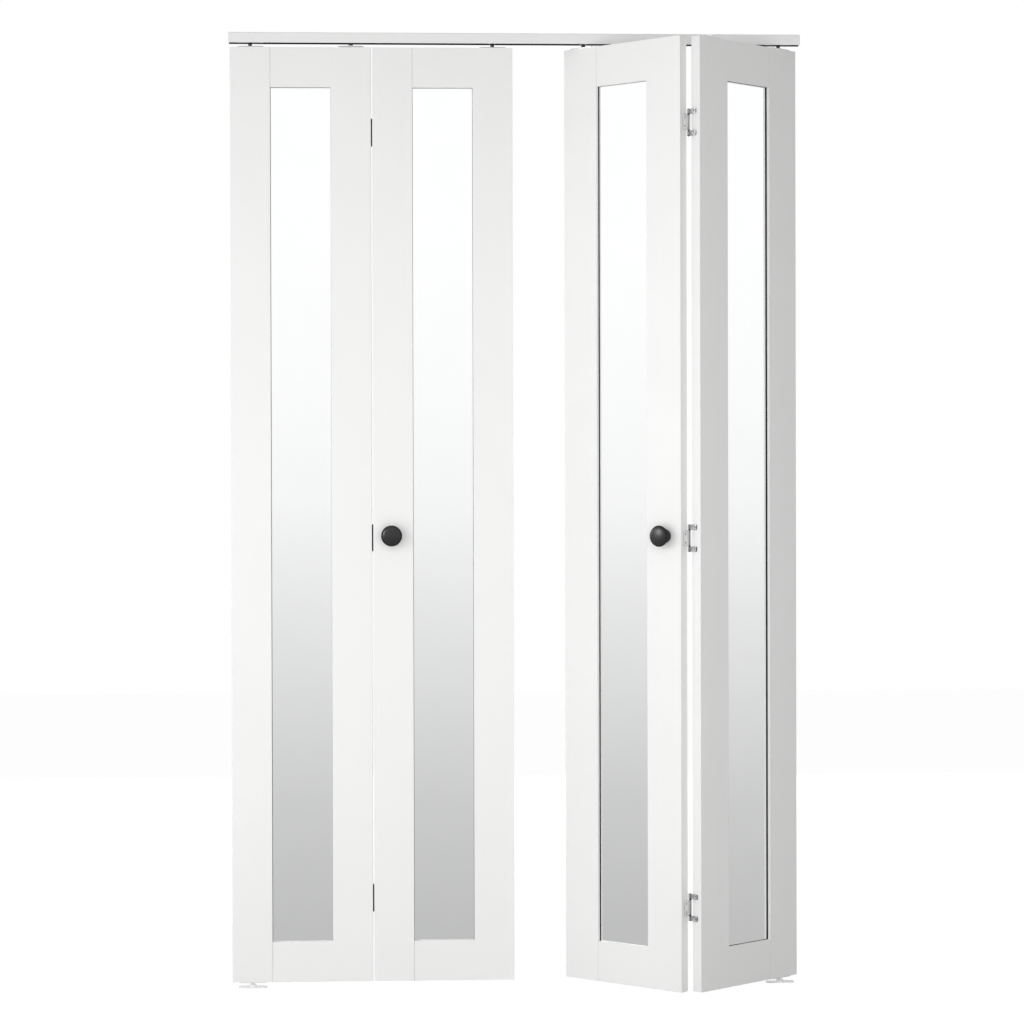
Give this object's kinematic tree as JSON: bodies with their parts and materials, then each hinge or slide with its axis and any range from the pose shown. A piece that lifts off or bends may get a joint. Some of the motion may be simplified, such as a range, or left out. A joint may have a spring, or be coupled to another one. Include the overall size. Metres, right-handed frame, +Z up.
{
  "type": "bifold closet door",
  "caption": "White bifold closet door in two folding pairs of framed mirror panels, with an overhead track and black knobs.",
  "frame": {"origin": "middle of the track's top face, where it meets the header of the opening", "axes": "+X to the right along the track as the viewer faces the doors, +Y into the closet, +Z up"},
  "size_m": [1.2192, 0.219, 2.032],
  "materials": {
    "door_paint": "white satin paint on wood with a fine grain",
    "track_paint": "white powder coat",
    "mirror_glass": "4 mm back-silvered mirror",
    "zinc_steel": "zinc-plated steel",
    "knob_black": "matt black coating",
    "white_nylon": "moulded nylon"
  },
  "bodies": {
    "root": {"track": "track_paint", "left_pivot_socket": "zinc_steel", "right_pivot_socket": "zinc_steel", "left_floor_bracket": "track_paint", "right_floor_bracket": "track_paint"},
    "left_pivot_door": {"left_pivot_door_jamb_stile": "door_paint", "left_pivot_door_hinge_stile": "door_paint", "left_pivot_door_top_rail": "door_paint", "left_pivot_door_bottom_rail": "door_paint", "left_pivot_door_mirror": "mirror_glass", "left_pivot_door_back_board": "door_paint", "left_top_pivot_housing": "zinc_steel", "left_bottom_pivot": "track_paint", "left_catch_housing": "zinc_steel", "left_outer_hinge_leaf_top": "zinc_steel", "left_outer_hinge_leaf_middle": "zinc_steel", "left_outer_hinge_leaf_bottom": "zinc_steel"},
    "left_lead_door": {"left_lead_door_hinge_stile": "door_paint", "left_lead_door_free_stile": "door_paint", "left_lead_door_top_rail": "door_paint", "left_lead_door_bottom_rail": "door_paint", "left_lead_door_mirror": "mirror_glass", "left_lead_door_back_board": "door_paint", "left_guide_housing": "zinc_steel", "left_inner_hinge_leaf_top": "zinc_steel", "left_inner_hinge_leaf_middle": "zinc_steel", "left_inner_hinge_leaf_bottom": "zinc_steel", "left_knob": "knob_black"},
    "left_pivot_pin": {"left_top_pivot_pin": "zinc_steel"},
    "left_catch": {"left_catch_plunger": "zinc_steel"},
    "left_guide": {"left_guide_pin": "zinc_steel"},
    "left_roller": {"left_guide_roller": "white_nylon"},
    "right_pivot_door": {"right_pivot_door_jamb_stile": "door_paint", "right_pivot_door_hinge_stile": "door_paint", "right_pivot_door_top_rail": "door_paint", "right_pivot_door_bottom_rail": "door_paint", "right_pivot_door_mirror": "mirror_glass", "right_pivot_door_back_board": "door_paint", "right_top_pivot_housing": "zinc_steel", "right_bottom_pivot": "track_paint", "right_catch_housing": "zinc_steel", "right_outer_hinge_leaf_top": "zinc_steel", "right_outer_hinge_leaf_middle": "zinc_steel", "right_outer_hinge_leaf_bottom": "zinc_steel"},
    "right_lead_door": {"right_lead_door_hinge_stile": "door_paint", "right_lead_door_free_stile": "door_paint", "right_lead_door_top_rail": "door_paint", "right_lead_door_bottom_rail": "door_paint", "right_lead_door_mirror": "mirror_glass", "right_lead_door_back_board": "door_paint", "right_guide_housing": "zinc_steel", "right_inner_hinge_leaf_top": "zinc_steel", "right_inner_hinge_leaf_middle": "zinc_steel", "right_inner_hinge_leaf_bottom": "zinc_steel", "right_knob": "knob_black"},
    "right_pivot_pin": {"right_top_pivot_pin": "zinc_steel"},
    "right_catch": {"right_catch_plunger": "zinc_steel"},
    "right_guide": {"right_guide_pin": "zinc_steel"},
    "right_roller": {"right_guide_roller": "white_nylon"}
  },
  "joints": [
    {"name": "left_door_pivot", "type": "hinge", "parent": "root", "child": "left_pivot_door", "pos_m": [-0.5641, 0, 0], "axis": [0, 0, 1], "range_deg": [-85, 0]},
    {"name": "left_door_fold", "type": "hinge", "parent": "left_pivot_door", "child": "left_lead_door", "pos_m": [-0.3066, 0.018, 0], "axis": [0, 0, 1], "range_deg": [0, 170]},
    {"name": "left_pivot_pin_slide", "type": "slide", "parent": "left_pivot_door", "child": "left_pivot_pin", "axis": [0, 0, 1], "range_m": [-0.012, 0], "stiffness_N_per_m": 400, "springref_m": 0.0004},
    {"name": "left_catch_slide", "type": "slide", "parent": "left_pivot_door", "child": "left_catch", "axis": [0, 0, 1], "range_m": [-0.003, 0], "stiffness_N_per_m": 400, "springref_m": 0.0004},
    {"name": "left_guide_slide", "type": "slide", "parent": "left_lead_door", "child": "left_guide", "axis": [0, 0, 1], "range_m": [-0.0083, 0], "stiffness_N_per_m": 400, "springref_m": 0.0004},
    {"name": "left_roller_spin", "type": "hinge", "parent": "left_guide", "child": "left_roller", "pos_m": [-0.0491, 0, 0], "axis": [0, 0, 1], "continuous": true},
    {"name": "right_door_pivot", "type": "hinge", "parent": "root", "child": "right_pivot_door", "pos_m": [0.5641, 0, 0], "axis": [0, 0, 1], "range_deg": [-39.84, 45.16]},
    {"name": "right_door_fold", "type": "hinge", "parent": "right_pivot_door", "child": "right_lead_door", "pos_m": [0.35485, -0.15115, 0], "axis": [0, 0, 1], "range_deg": [-90.32, 79.68]},
    {"name": "right_pivot_pin_slide", "type": "slide", "parent": "right_pivot_door", "child": "right_pivot_pin", "axis": [0, 0, 1], "range_m": [-0.012, 0], "stiffness_N_per_m": 400, "springref_m": 0.0004},
    {"name": "right_catch_slide", "type": "slide", "parent": "right_pivot_door", "child": "right_catch", "axis": [0, 0, 1], "range_m": [-0.003, 0], "stiffness_N_per_m": 400, "springref_m": 0.0004},
    {"name": "right_guide_slide", "type": "slide", "parent": "right_lead_door", "child": "right_guide", "axis": [0, 0, 1], "range_m": [-0.0083, 0], "stiffness_N_per_m": 400, "springref_m": 0.0004},
    {"name": "right_roller_spin", "type": "hinge", "parent": "right_guide", "child": "right_roller", "pos_m": [0.1456, 0, 0], "axis": [0, 0, 1], "continuous": true}
  ],
  "couplings": [
    {"joint": "left_door_fold", "follows": "left_door_pivot", "ratio": -2},
    {"joint": "right_door_fold", "follows": "right_door_pivot", "ratio": -2}
  ]
}
